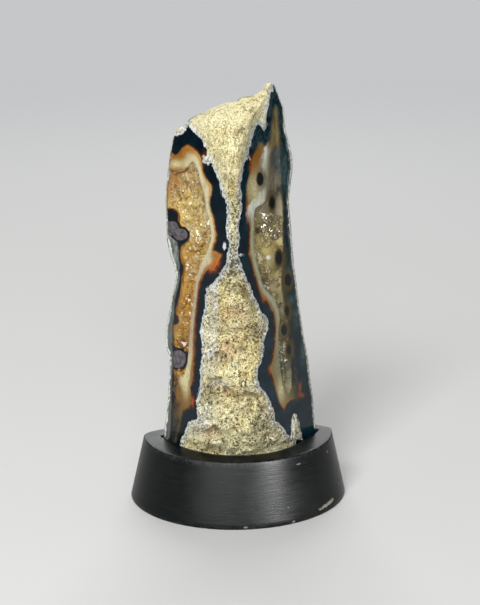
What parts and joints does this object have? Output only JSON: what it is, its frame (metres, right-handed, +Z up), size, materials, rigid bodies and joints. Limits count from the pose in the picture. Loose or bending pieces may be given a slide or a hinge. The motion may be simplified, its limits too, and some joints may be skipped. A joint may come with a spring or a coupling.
{
  "type": "agate geode on a wooden stand",
  "caption": "Upright agate geode with cut and polished faces, crystal-lined hollows and natural rind, resting in a black wooden display stand.",
  "frame": {"origin": "centre of the stand's underside", "axes": "+X to the viewer's right, +Y away from the viewer, +Z up"},
  "size_m": [0.131, 0.072, 0.249],
  "materials": {
    "agate_stone": "natural rind with polished cut faces",
    "golden_crystals": "glossy natural quartz points",
    "grey_crystals": "glossy natural quartz points",
    "black_wood": "semi-gloss black lacquer"
  },
  "bodies": {
    "root": {"geode": "agate_stone", "left_crystals": "golden_crystals", "right_crystals": "grey_crystals", "stand": "black_wood"}
  },
  "joints": []
}
